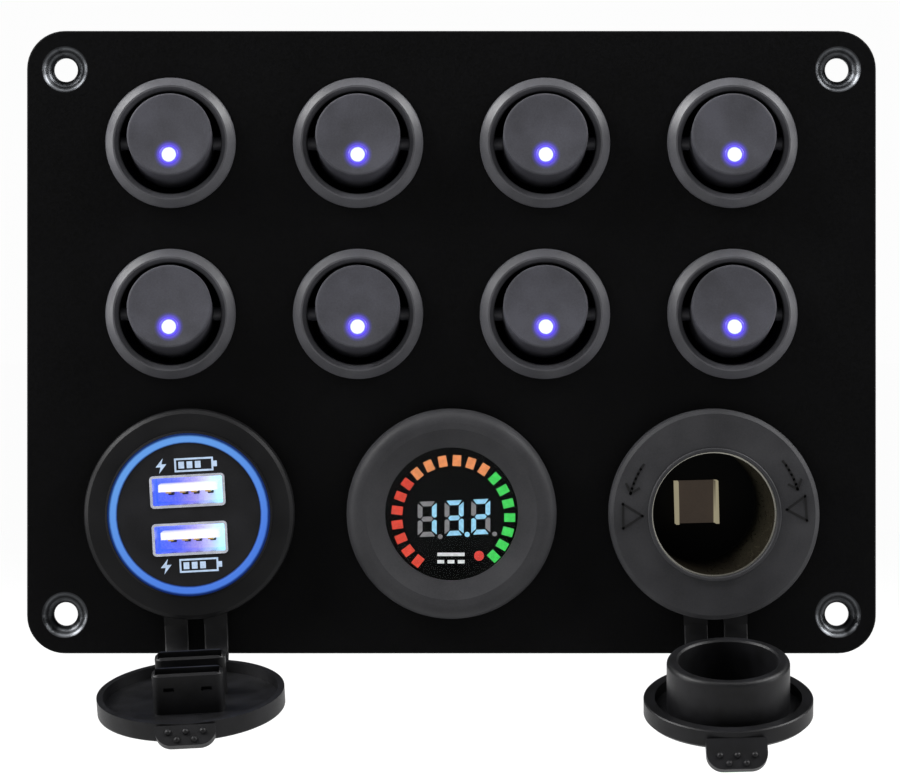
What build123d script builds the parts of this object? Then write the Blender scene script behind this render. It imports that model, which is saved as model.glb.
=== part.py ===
from build123d import *
import os
from math import cos, radians, sin

# A control panel with eight round rocker switches, a twin USB charger, a voltmeter and a 12 volt
# socket. Millimetres, +Z up, +X to the right, and the front faces -Y. The origin is the centre of the
# four panel screws, in the panel's back face. "Out" means forward of that face, so out = -Y.

# Panel
PANEL_W = 150.0
PANEL_H = 110.0
PANEL_T = 2.5
PANEL_CORNER_R = 6.7
PANEL_EDGE_BREAK = 0.25
SCREW_PITCH_X = 136.6
SCREW_PITCH_Z = 96.4
SCREW_HOLE_R = 2.1
SCREW_SINK_R = 4.0

# Where the switches and the three round units sit
SWITCH_X = (-49.6, -16.5, 16.5, 49.6)
SWITCH_Z = (35.2, 5.0)
SWITCH_CENTRES = [(x, z) for z in SWITCH_Z for x in SWITCH_X]
UNIT_PITCH = 46.1
UNIT_Z = -30.2
USB_TURN = 3.0  # degrees that the charger sits turned in its hole
SOCKET_TURN = 1.5

# Switch
SWITCH_HOLE_R = 10.1
SWITCH_FLANGE_R = 11.5
SWITCH_RIDGE_R = 9.95
SWITCH_FRONT = 4.6
SWITCH_RIM_T = 0.5
SWITCH_RIM_BREAK_W = 0.2
SWITCH_RIM_BREAK_H = 0.3
SWITCH_CREST_HALF_W = 0.15
SWITCH_SLOPE_DEPTH = 1.0
SWITCH_BARREL_R = 9.9
SWITCH_CAVITY_R = 9.0
SWITCH_FLOOR = -9.0
SWITCH_BACK = -12.5
FIN_W = 4.0
FIN_REACH = 10.9
FIN_EMBED = 0.4
FIN_NEAR = -0.3
FIN_FAR = -7.0

# Rocker, which turns about an X axis in the panel's back plane
ROCKER_TILT = 12.0
ROCKER_R = 7.45
ROCKER_FACE = 6.7
ROCKER_DISH = 0.3
ROCKER_WALL = 1.0
ROCKER_SKIRT = -2.6
ROCKER_ROOF = 5.2
ROCKER_EDGE_W = 0.35
ROCKER_EDGE_H = 0.3
STEM_R = 2.2
STEM_TIP_R = 1.2
STEM_TIP = -6.0
STEM_NOSE_R = 0.7
STEM_NOSE_H = 0.2
STEM_TAPER_H = 0.9
ROCKER_PIN_R = 1.2
ROCKER_PIN_REACH = 9.55
ROCKER_PIN_EMBED = 0.1
RUNNING_GAP = 0.05
LENS_R = 1.7
LENS_GAP = 0.03
LENS_EDGE_R = 0.25
LENS_DROP = 3.7
LENS_BACK = 4.6
LENS_FRONT = 6.62

# See-saw contact lever under the rocker
LEVER_PIVOT = -6.8
LEVER_TILT = 7.0
LEVER_L = 11.8
LEVER_W = 4.4
LEVER_T = 0.6
LEVER_PIN_R = 0.5
LEVER_PIN_L = 7.0
CONTACT_REACH = 5.0
LEVER_CONTACT_R = 1.0
LEVER_CONTACT_T = 0.3

# Tab terminals
TAB_T = 0.8
TAB_GAP = 0.05
SWITCH_TAB_W = 4.8
SWITCH_TAB_TIP = -21.0
SWITCH_TAB_PITCH = 5.0
SWITCH_TAB_TOP = -8.55
FEED_CONTACT_T = 0.25
TAB_FOOT_H = 2.4
SADDLE_EAR_X = 2.9
SADDLE_EAR_T = 0.6
SADDLE_EAR_TOP = -6.0
UNIT_TAB_W = 6.3
TAB_LENGTH = 8.5
TAB_TAPER = 1.4
TAB_HOLE_R = 0.7

# Round units: flange, threaded barrel and nut
UNIT_HOLE_R = 14.6
FLANGE_R = 18.5
FLANGE_SEAT = 3.7
FLANGE_FRONT = 6.9
SMALL_BREAK = 0.15
FLANGE_ROUND_W = 0.8
FLANGE_ROUND_H = 1.1
BARREL_R = 14.25
THREAD_ROOT_R = 13.7
UNIT_WALL = 1.5
THREAD_PITCH = 2.0
THREAD_TURNS = 9
THREAD_START = -1.0
NUT_R = 17.5
NUT_BORE_R = 14.4
NUT_T = 6.5
NUT_GRIPS = 20
NUT_GRIP_R = 1.1
NUT_GRIP_CENTRE_R = 17.94
PIECE_GAP = 0.05

# USB charger
USB_BACK = -38.0
USB_CAVITY_R = 11.9
USB_FACE_R = 12.55
USB_FACE_BACK = 4.3
USB_FACE_FRONT = 7.3
USB_LEDGE = 5.2
LIGHT_RING_R = 14.25
LIGHT_RING_EDGE = 0.1
LIGHT_RING_CROWN = 0.3
LIGHT_RING_SLOPE_W = 0.4
USB_RIM_R = 14.65
USB_RIM_FRONT = 7.8
PORT_W = 13.2
PORT_H = 5.7
PORT_WALL = 0.45
PORT_CORNER_R = 0.7
PORT_RISE = 4.2
PORT_FRONT = 7.45
PORT_BACK = -6.0
TONGUE_W = 10.4
TONGUE_LOW = -0.1
TONGUE_HIGH = 1.15
TONGUE_FRONT = 6.0
TONGUE_BLOCK_FRONT = -3.0
USB_CONTACT_X = (-3.5, -1.0, 1.0, 3.5)
USB_CONTACT_W = 1.0
USB_CONTACT_T = 0.3
USB_CONTACT_HUMP = 0.9
USB_CONTACT_HUMP_FRONT = -0.9
USB_CONTACT_FRONT = 5.6
BOARD_T = 1.6
BOARD_GAP = 0.5
COIL_W = 7.0
COIL_H = 5.0
COIL_UP = 4.0
CAPACITOR_R = 2.5
CAPACITOR_H = 7.0
CAPACITOR_PITCH = 9.0
CAPACITOR_DROP = 6.0
USB_BOARD_FRONT = -8.0
USB_TAB_X = 5.0

# Voltmeter
METER_BACK = -28.0
METER_FRONT = 6.9
METER_EDGE_H = 1.9
METER_ROUND_W = 2.4
METER_ROUND_R = 2.45
METER_CONE_R = 15.0
METER_WINDOW_R = 11.7
METER_CONE_FOOT = 5.4
METER_LIP_BACK = 4.8
METER_CAVITY_R = 12.9
METER_GLASS_T = 1.0
METER_DISPLAY_BACK = 1.4
METER_DISPLAY_FRONT = 3.6
METER_TAB_X = 4.0

# 12 volt socket
SOCKET_BACK = -38.5
SOCKET_FLOOR = -35.0
SOCKET_FLANGE_FRONT = 7.2
SOCKET_LIP_R = 11.7
SOCKET_MOUTH_R = 11.0
SOCKET_LIP_FRONT = 7.7
LINER_R = 10.73
LINER_OUTER_R = 11.3
LINER_FRONT = 5.5
LINER_BACK = -30.0
CENTRE_CONTACT_W = 8.0
CENTRE_CONTACT_T = 0.6
CENTRE_CONTACT_RISE = 4.0
SOCKET_SIDE_TAB_X = 9.0
SOCKET_SIDE_TAB_COVER = 1.0

# Dust caps, each on two straps that bend about a line below the flange
USB_CAP_OPEN = 103.5
SOCKET_CAP_OPEN = 107.0
HINGE_DROP = 21.5
CAP_T = 3.3
CAP_RECESS = 1.9
CAP_GAP = 0.1
CAP_EDGE_BREAK = 0.5
CAP_RIM_BREAK = 0.2
USB_CAP_R = 16.0
USB_CAP_RECESS_R = 14.95
USB_HINGE_OUT = 4.5
SOCKET_CAP_R = 14.4
SOCKET_CAP_RECESS_R = 12.5
SOCKET_HINGE_OUT = 5.0
USB_PLUG_W = 12.0
USB_PLUG_H = 3.8
USB_PLUG_L = 7.3
USB_PLUG_SIDE_WALL = 0.55
USB_POCKET_LOW = -0.75
USB_POCKET_HIGH = 1.5
USB_SLOT_X = 3.2
USB_SLOT_W = 1.8
USB_SLOT_H = 0.7
USB_SLOT_FROM_TIP = 2.6
USB_PLUG_CORNER_R = 1.2
USB_PLUG_TIP = 0.6
SOCKET_PLUG_R = 10.45
SOCKET_PLUG_WALL = 1.95
SOCKET_PLUG_L = 8.8
SOCKET_PLUG_TIP_R = 0.9
SOCKET_PLUG_INNER_BREAK = 0.3
PULL_TAB_W = 10.2
PULL_TAB_T = 1.6
PULL_TAB_ROUND = 2.8
PULL_TAB_EMBED = 0.8
PULL_TAB_TILT = 48.0
USB_PULL_TAB_OUT = 1.3
USB_PULL_TAB_L = 2.8
SOCKET_PULL_TAB_OUT = 2.2
SOCKET_PULL_TAB_L = 4.6
BUMP_R = 0.55
BUMP_PITCH = 2.9
BUMP_ROW_GAP = 1.4
BUMP_EDGE_GAP = 1.0
STRAP_X = 3.5
STRAP_W = 4.2
STRAP_T = 1.1
STRAP_START = 19.6
STRAP_STRAIGHT = 0.8
RING_INNER_R = 14.7
RING_OUTER_R = 17.9
LUG_REACH = 0.8
LUG_EMBED = 1.4


def facing(x, z, out=0.0, turn=0.0):
    """Plane that faces forwards: its x runs right, its y runs up and its z runs out."""
    right = Vector(cos(radians(turn)), 0, sin(radians(turn)))
    return Plane(origin=(x, -out, z), x_dir=right, z_dir=(0, -1, 0))


def shifted(plane, right=0.0, up=0.0, out=0.0):
    """The same plane, moved along its own axes."""
    origin = plane.origin + plane.x_dir * right + plane.y_dir * up + plane.z_dir * out
    return Plane(origin=origin, x_dir=plane.x_dir, z_dir=plane.z_dir)


def tilted(plane, angle):
    """The same plane, turned about its own x through its origin."""
    normal = plane.z_dir.rotate(Axis(plane.origin, plane.x_dir), angle)
    return Plane(origin=plane.origin, x_dir=plane.x_dir, z_dir=normal)


def across(plane):
    """Plane through the axis of a unit: its x runs right and its y runs out."""
    return Plane(origin=plane.origin, x_dir=plane.x_dir, z_dir=plane.y_dir * -1)


def side_on(plane):
    """Plane that looks along a unit's hinge line: its x runs out and its y runs up."""
    return Plane(origin=plane.origin, x_dir=plane.z_dir, z_dir=plane.x_dir * -1)


def axis_of(plane):
    return Axis(plane.origin, plane.z_dir)


def half_section(plane, points):
    """Half of a round piece's section, from (radius, out) points."""
    with BuildSketch(across(plane)) as section:
        with BuildLine():
            Polyline(*points, close=True)
        make_face()
    return section.sketch


def tab_outline(plane, width, tip, root):
    """A flat tab terminal seen from above, with a tapered tip and a small hole."""
    half = width / 2
    shoulder = half - TAB_TAPER / 2
    with BuildSketch(across(plane)) as outline:
        with BuildLine():
            Polyline(
                (-half, root),
                (half, root),
                (half, tip + TAB_TAPER),
                (shoulder, tip),
                (-shoulder, tip),
                (-half, tip + TAB_TAPER),
                close=True,
            )
        make_face()
        with Locations((0, tip + 2 * TAB_TAPER)):
            Circle(TAB_HOLE_R, mode=Mode.SUBTRACT)
    return outline.sketch


def flange_edge(front):
    """Outline of a flange's rounded outer edge, from its front down to its seat."""
    return [
        (FLANGE_R - FLANGE_ROUND_W, front - FLANGE_ROUND_H * 0.15),
        (FLANGE_R - FLANGE_ROUND_W * 0.25, front - FLANGE_ROUND_H * 0.55),
        (FLANGE_R, front - FLANGE_ROUND_H),
        (FLANGE_R, FLANGE_SEAT),
    ]


def thread_points(last_out):
    """Barrel outline from the flange back to last_out, with thread grooves."""
    points = [(BARREL_R, FLANGE_SEAT)]
    for turn in range(THREAD_TURNS):
        crest = THREAD_START - turn * THREAD_PITCH
        points.append((BARREL_R, crest))
        points.append((THREAD_ROOT_R, crest - THREAD_PITCH / 2))
    points.append((BARREL_R, THREAD_START - THREAD_TURNS * THREAD_PITCH))
    points.append((BARREL_R, last_out))
    return points


def save(piece, name):
    """Label a finished piece and write it as its own STEP file."""
    piece.part.label = name
    export_step(piece.part, f"parts/{name}.step")


def make_front_panel():
    with BuildPart() as front_panel:
        with BuildSketch(facing(0, 0)):
            RectangleRounded(PANEL_W, PANEL_H, PANEL_CORNER_R)
            with Locations(*SWITCH_CENTRES):
                Circle(SWITCH_HOLE_R, mode=Mode.SUBTRACT)
            with Locations((-UNIT_PITCH, UNIT_Z), (0, UNIT_Z), (UNIT_PITCH, UNIT_Z)):
                Circle(UNIT_HOLE_R, mode=Mode.SUBTRACT)
        extrude(amount=PANEL_T)
        front_face = front_panel.faces().sort_by(Axis.Y)[0]
        chamfer(front_face.outer_wire().edges(), PANEL_EDGE_BREAK)
        with Locations(facing(0, 0, PANEL_T)):
            with GridLocations(SCREW_PITCH_X, SCREW_PITCH_Z, 2, 2):
                CounterSinkHole(SCREW_HOLE_R, SCREW_SINK_R, counter_sink_angle=90)
    save(front_panel, "front_panel")


def make_switch_housing(plane, name):
    rim_out = PANEL_T + SWITCH_RIM_T
    fin_root = SWITCH_BARREL_R - FIN_EMBED
    with BuildPart() as housing:
        outline = [
            (0, SWITCH_BACK),
            (SWITCH_BARREL_R, SWITCH_BACK),
            (SWITCH_BARREL_R, PANEL_T),
            (SWITCH_FLANGE_R, PANEL_T),
            (SWITCH_FLANGE_R, rim_out),
            (SWITCH_FLANGE_R - SWITCH_RIM_BREAK_W, rim_out + SWITCH_RIM_BREAK_H),
            (SWITCH_RIDGE_R + SWITCH_CREST_HALF_W, SWITCH_FRONT),
            (SWITCH_RIDGE_R - SWITCH_CREST_HALF_W, SWITCH_FRONT),
            (SWITCH_CAVITY_R, SWITCH_FRONT - SWITCH_SLOPE_DEPTH),
            (SWITCH_CAVITY_R, SWITCH_FLOOR),
            (0, SWITCH_FLOOR),
        ]
        revolve(half_section(plane, outline), axis=axis_of(plane))
        # Two snap fins hold the switch behind the panel.
        with BuildSketch(across(plane)):
            for side in (-1, 1):
                with BuildLine():
                    Polyline(
                        (side * fin_root, FIN_NEAR),
                        (side * FIN_REACH, FIN_NEAR),
                        (side * fin_root, FIN_FAR),
                        close=True,
                    )
                make_face()
        extrude(amount=FIN_W / 2, both=True)
        # Blind bearings for the rocker's pins, one in each side of the barrel.
        with BuildSketch(side_on(plane)):
            Circle(ROCKER_PIN_R + RUNNING_GAP)
        extrude(amount=ROCKER_PIN_REACH + RUNNING_GAP, both=True, mode=Mode.SUBTRACT)
        # Slots for the three tabs
        with BuildSketch(shifted(plane, out=SWITCH_BACK)):
            with GridLocations(0, SWITCH_TAB_PITCH, 1, 3):
                Rectangle(SWITCH_TAB_W + 2 * TAB_GAP, TAB_T + 2 * TAB_GAP)
        extrude(amount=SWITCH_FLOOR - SWITCH_BACK, mode=Mode.SUBTRACT)
    save(housing, name)


def make_rocker(plane, name):
    """The rocker is a dished disc with a skirt, a stem that works the contact lever, and two pins."""
    rocker_plane = tilted(plane, -ROCKER_TILT)
    inner = ROCKER_R - ROCKER_WALL
    pin_root = inner + ROCKER_PIN_EMBED
    dish_edge = (ROCKER_R - ROCKER_EDGE_W, ROCKER_FACE)
    dish_middle = (dish_edge[0] / 2, ROCKER_FACE - ROCKER_DISH * 0.75)
    dish_centre = (0, ROCKER_FACE - ROCKER_DISH)
    with BuildPart() as rocker:
        with BuildSketch(across(rocker_plane)):
            with BuildLine():
                Polyline(
                    dish_centre,
                    (0, STEM_TIP),
                    (STEM_NOSE_R, STEM_TIP + STEM_NOSE_H),
                    (STEM_TIP_R, STEM_TIP + STEM_TAPER_H),
                    (STEM_TIP_R, ROCKER_SKIRT - STEM_TAPER_H),
                    (STEM_R, ROCKER_SKIRT),
                    (STEM_R, ROCKER_ROOF),
                    (inner, ROCKER_ROOF),
                    (inner, ROCKER_SKIRT),
                    (ROCKER_R, ROCKER_SKIRT),
                    (ROCKER_R, ROCKER_FACE - ROCKER_EDGE_H),
                    (ROCKER_R - ROCKER_EDGE_W * 0.4, ROCKER_FACE - ROCKER_EDGE_H * 0.2),
                    dish_edge,
                )
                ThreePointArc(dish_edge, dish_middle, dish_centre)
            make_face()
        revolve(axis=axis_of(rocker_plane))
        for side in (-1, 1):
            pin_plane = Plane(
                origin=rocker_plane.origin + rocker_plane.x_dir * side * pin_root,
                x_dir=rocker_plane.z_dir,
                z_dir=rocker_plane.x_dir * side,
            )
            with BuildSketch(pin_plane):
                Circle(ROCKER_PIN_R)
            extrude(amount=ROCKER_PIN_REACH - pin_root)
        with BuildSketch(shifted(rocker_plane, up=-LENS_DROP, out=ROCKER_FACE)):
            Circle(LENS_R + LENS_GAP)
        extrude(amount=-(ROCKER_FACE - LENS_BACK), mode=Mode.SUBTRACT)
    save(rocker, name)


def make_rocker_lens(plane, name):
    """A small light pipe set in the rocker's face."""
    lens_plane = shifted(tilted(plane, -ROCKER_TILT), up=-LENS_DROP)
    with BuildPart() as lens:
        with BuildSketch(shifted(lens_plane, out=LENS_BACK)):
            Circle(LENS_R)
        extrude(amount=LENS_FRONT - LENS_BACK)
        front_edge = lens.edges().filter_by(GeomType.CIRCLE).sort_by(axis_of(lens_plane))[-1]
        fillet(front_edge, LENS_EDGE_R)
    save(lens, name)


def make_contact_lever(plane, name):
    """The see-saw strip that joins the load tab to the feed tab, with its pin and contact."""
    lever_plane = tilted(shifted(plane, out=LEVER_PIVOT), LEVER_TILT)
    with BuildPart() as lever:
        with BuildSketch(shifted(lever_plane, out=-LEVER_T / 2)):
            Rectangle(LEVER_W, LEVER_L)
        extrude(amount=LEVER_T)
        with BuildSketch(side_on(lever_plane)):
            Circle(LEVER_PIN_R)
        extrude(amount=LEVER_PIN_L / 2, both=True)
        with BuildSketch(shifted(lever_plane, up=-CONTACT_REACH, out=-LEVER_T / 2)):
            Circle(LEVER_CONTACT_R)
        extrude(amount=-LEVER_CONTACT_T)
    save(lever, name)


def make_switch_feed_terminals():
    """One tab for each switch, at the bottom, topped by the fixed contact."""
    with BuildPart() as feed:
        for x, z in SWITCH_CENTRES:
            plane = facing(x, z - SWITCH_TAB_PITCH)
            outline = tab_outline(plane, SWITCH_TAB_W, SWITCH_TAB_TIP, SWITCH_TAB_TOP)
            extrude(outline, amount=TAB_T / 2, both=True)
            with BuildSketch(shifted(plane, out=SWITCH_FLOOR + PIECE_GAP)):
                Rectangle(SWITCH_TAB_W, TAB_FOOT_H)
            extrude(amount=SWITCH_TAB_TOP - SWITCH_FLOOR - PIECE_GAP)
            with BuildSketch(shifted(plane, out=SWITCH_TAB_TOP)):
                Circle(LEVER_CONTACT_R)
            extrude(amount=FEED_CONTACT_T)
    save(feed, "switch_feed_terminals")


def make_switch_load_terminals():
    """One tab for each switch, in the middle, with the two-eared saddle that carries the lever."""
    with BuildPart() as load:
        for x, z in SWITCH_CENTRES:
            plane = facing(x, z)
            outline = tab_outline(plane, SWITCH_TAB_W, SWITCH_TAB_TIP, SWITCH_TAB_TOP)
            extrude(outline, amount=TAB_T / 2, both=True)
            with BuildSketch(shifted(plane, out=SWITCH_FLOOR + PIECE_GAP)):
                Rectangle(2 * SADDLE_EAR_X + SADDLE_EAR_T, TAB_FOOT_H)
            extrude(amount=SWITCH_TAB_TOP - SWITCH_FLOOR - PIECE_GAP)
            with BuildSketch(shifted(plane, out=SWITCH_TAB_TOP)):
                with GridLocations(2 * SADDLE_EAR_X, 0, 2, 1):
                    Rectangle(SADDLE_EAR_T, TAB_FOOT_H)
            extrude(amount=SADDLE_EAR_TOP - SWITCH_TAB_TOP)
            with BuildSketch(side_on(shifted(plane, out=LEVER_PIVOT))):
                Circle(LEVER_PIN_R + RUNNING_GAP)
            extrude(amount=SADDLE_EAR_X + SADDLE_EAR_T, both=True, mode=Mode.SUBTRACT)
    save(load, "switch_load_terminals")


def make_switch_ground_terminals():
    """One tab for each switch, at the top, that feeds the lamp."""
    with BuildPart() as ground:
        for x, z in SWITCH_CENTRES:
            plane = facing(x, z + SWITCH_TAB_PITCH)
            outline = tab_outline(plane, SWITCH_TAB_W, SWITCH_TAB_TIP, SWITCH_TAB_TOP)
            extrude(outline, amount=TAB_T / 2, both=True)
    save(ground, "switch_ground_terminals")


def make_switch(number, x, z):
    plane = facing(x, z)
    make_switch_housing(plane, f"switch_housing_{number}")
    make_rocker(plane, f"rocker_{number}")
    make_rocker_lens(plane, f"rocker_lens_{number}")
    make_contact_lever(plane, f"contact_lever_{number}")


def make_unit_terminals(plane, back, positions, name):
    """Tabs that stand out of a round unit's back."""
    with BuildPart() as terminals:
        for right in positions:
            tab_plane = shifted(plane, right=right)
            tip = back - TAB_LENGTH
            extrude(tab_outline(tab_plane, UNIT_TAB_W, tip, back + UNIT_WALL), amount=TAB_T / 2, both=True)
    save(terminals, name)


def make_usb_housing(plane):
    inner_back = USB_BACK + UNIT_WALL
    with BuildPart() as housing:
        outline = [
            (0, inner_back),
            (USB_CAVITY_R, inner_back),
            (USB_CAVITY_R, USB_FACE_BACK - PIECE_GAP),
            (USB_FACE_R + PIECE_GAP, USB_FACE_BACK - PIECE_GAP),
            (USB_FACE_R + PIECE_GAP, USB_LEDGE),
            (LIGHT_RING_R + PIECE_GAP, USB_LEDGE),
            (LIGHT_RING_R + PIECE_GAP, USB_RIM_FRONT),
            (USB_RIM_R, USB_RIM_FRONT - SMALL_BREAK),
            (USB_RIM_R + PIECE_GAP, FLANGE_FRONT),
            *flange_edge(FLANGE_FRONT),
            *thread_points(USB_BACK),
            (0, USB_BACK),
        ]
        revolve(half_section(plane, outline), axis=axis_of(plane))
        with BuildSketch(shifted(plane, out=USB_BACK)):
            with GridLocations(2 * USB_TAB_X, 0, 2, 1):
                Rectangle(UNIT_TAB_W + 2 * TAB_GAP, TAB_T + 2 * TAB_GAP)
        extrude(amount=inner_back - USB_BACK, mode=Mode.SUBTRACT)
    save(housing, "usb_housing")


def make_usb_face(plane):
    opening_w = PORT_W + 2 * PIECE_GAP
    opening_h = PORT_H + 2 * PIECE_GAP
    with BuildPart() as face:
        with BuildSketch(shifted(plane, out=USB_FACE_BACK)):
            Circle(USB_FACE_R)
            with GridLocations(0, 2 * PORT_RISE, 1, 2):
                RectangleRounded(opening_w, opening_h, PORT_CORNER_R, mode=Mode.SUBTRACT)
        extrude(amount=USB_FACE_FRONT - USB_FACE_BACK)
    save(face, "usb_face")


def make_usb_light_ring(plane):
    inner = USB_FACE_R + PIECE_GAP
    with BuildPart() as ring:
        outline = [
            (inner, USB_LEDGE + PIECE_GAP),
            (LIGHT_RING_R, USB_LEDGE + PIECE_GAP),
            (LIGHT_RING_R, USB_FACE_FRONT + LIGHT_RING_EDGE),
            (LIGHT_RING_R - LIGHT_RING_SLOPE_W, USB_FACE_FRONT + LIGHT_RING_CROWN),
            (inner + LIGHT_RING_SLOPE_W, USB_FACE_FRONT + LIGHT_RING_CROWN),
            (inner, USB_FACE_FRONT + LIGHT_RING_EDGE),
        ]
        revolve(half_section(plane, outline), axis=axis_of(plane))
    save(ring, "usb_light_ring")


def make_usb_port_shells(plane):
    """Two folded steel tubes."""
    with BuildPart() as shells:
        with BuildSketch(shifted(plane, out=PORT_BACK)):
            with GridLocations(0, 2 * PORT_RISE, 1, 2):
                RectangleRounded(PORT_W, PORT_H, PORT_CORNER_R)
                RectangleRounded(
                    PORT_W - 2 * PORT_WALL,
                    PORT_H - 2 * PORT_WALL,
                    PORT_CORNER_R - PORT_WALL,
                    mode=Mode.SUBTRACT,
                )
        extrude(amount=PORT_FRONT - PORT_BACK)
    save(shells, "usb_port_shells")


def make_usb_tongues(plane):
    """Two insulating tongues, each on a block that closes the back of its shell."""
    block_w = PORT_W - 2 * PORT_WALL - 2 * PIECE_GAP
    block_h = PORT_H - 2 * PORT_WALL - 2 * PIECE_GAP
    with BuildPart() as tongues:
        with BuildSketch(shifted(plane, out=PORT_BACK)):
            with GridLocations(0, 2 * PORT_RISE, 1, 2):
                RectangleRounded(block_w, block_h, PORT_CORNER_R - PORT_WALL)
        extrude(amount=TONGUE_BLOCK_FRONT - PORT_BACK)
        with BuildSketch(shifted(plane, up=(TONGUE_LOW + TONGUE_HIGH) / 2, out=TONGUE_BLOCK_FRONT)):
            with GridLocations(0, 2 * PORT_RISE, 1, 2):
                Rectangle(TONGUE_W, TONGUE_HIGH - TONGUE_LOW)
        extrude(amount=TONGUE_FRONT - TONGUE_BLOCK_FRONT)
    save(tongues, "usb_tongues")


def make_usb_contacts(plane):
    """Four gold strips under each tongue, each with a springy hump at its root."""
    with BuildPart() as contacts:
        for rise in (-PORT_RISE, PORT_RISE):
            for right in USB_CONTACT_X:
                up = rise + TONGUE_LOW - USB_CONTACT_T / 2
                with BuildSketch(shifted(plane, right=right, up=up, out=TONGUE_BLOCK_FRONT)):
                    Rectangle(USB_CONTACT_W, USB_CONTACT_T)
                extrude(amount=USB_CONTACT_FRONT - TONGUE_BLOCK_FRONT)
                hump_up = rise + TONGUE_LOW - USB_CONTACT_HUMP / 2
                with BuildSketch(shifted(plane, right=right, up=hump_up, out=TONGUE_BLOCK_FRONT)):
                    Rectangle(USB_CONTACT_W, USB_CONTACT_HUMP)
                extrude(amount=USB_CONTACT_HUMP_FRONT - TONGUE_BLOCK_FRONT)
    save(contacts, "usb_contacts")


def make_round_board(plane, radius, front, name):
    """A round circuit board with a coil and two capacitors on its back."""
    with BuildPart() as board:
        with BuildSketch(shifted(plane, out=front - BOARD_T)):
            Circle(radius)
        extrude(amount=BOARD_T)
        with BuildSketch(shifted(plane, up=COIL_UP, out=front - BOARD_T)):
            Rectangle(COIL_W, COIL_W)
        extrude(amount=-COIL_H)
        with BuildSketch(shifted(plane, up=-CAPACITOR_DROP, out=front - BOARD_T)):
            with GridLocations(CAPACITOR_PITCH, 0, 2, 1):
                Circle(CAPACITOR_R)
        extrude(amount=-CAPACITOR_H)
    save(board, name)


def make_meter(plane):
    inner_back = METER_BACK + UNIT_WALL
    edge_start = (FLANGE_R, PANEL_T + METER_EDGE_H)
    edge_end = (FLANGE_R - METER_ROUND_W, METER_FRONT)
    with BuildPart() as housing:
        with BuildSketch(across(plane)):
            with BuildLine():
                Polyline(
                    (METER_CONE_R, METER_FRONT),
                    (METER_WINDOW_R, METER_CONE_FOOT),
                    (METER_WINDOW_R, METER_LIP_BACK),
                    (METER_CAVITY_R, METER_LIP_BACK),
                    (METER_CAVITY_R, inner_back),
                    (0, inner_back),
                    (0, METER_BACK),
                    *reversed(thread_points(METER_BACK)[1:]),
                    (BARREL_R, PANEL_T),
                    (FLANGE_R, PANEL_T),
                    edge_start,
                )
                RadiusArc(edge_start, edge_end, -METER_ROUND_R)
                Line(edge_end, (METER_CONE_R, METER_FRONT))
            make_face()
        revolve(axis=axis_of(plane))
        with BuildSketch(shifted(plane, out=METER_BACK)):
            with GridLocations(2 * METER_TAB_X, 0, 2, 1):
                Rectangle(UNIT_TAB_W + 2 * TAB_GAP, TAB_T + 2 * TAB_GAP)
        extrude(amount=inner_back - METER_BACK, mode=Mode.SUBTRACT)
    save(housing, "meter_housing")

    with BuildPart() as window:
        with BuildSketch(shifted(plane, out=METER_LIP_BACK - PIECE_GAP)):
            Circle(METER_CAVITY_R - PIECE_GAP)
        extrude(amount=-METER_GLASS_T)
    save(window, "meter_window")

    with BuildPart() as display:
        with BuildSketch(shifted(plane, out=METER_DISPLAY_BACK)):
            Circle(METER_CAVITY_R - 2 * PIECE_GAP)
        extrude(amount=METER_DISPLAY_FRONT - METER_DISPLAY_BACK)
    save(display, "meter_display")

    make_round_board(plane, METER_CAVITY_R - BOARD_GAP, METER_DISPLAY_BACK - PIECE_GAP, "meter_circuit_board")
    make_unit_terminals(plane, METER_BACK, (-METER_TAB_X, METER_TAB_X), "meter_terminals")


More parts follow.
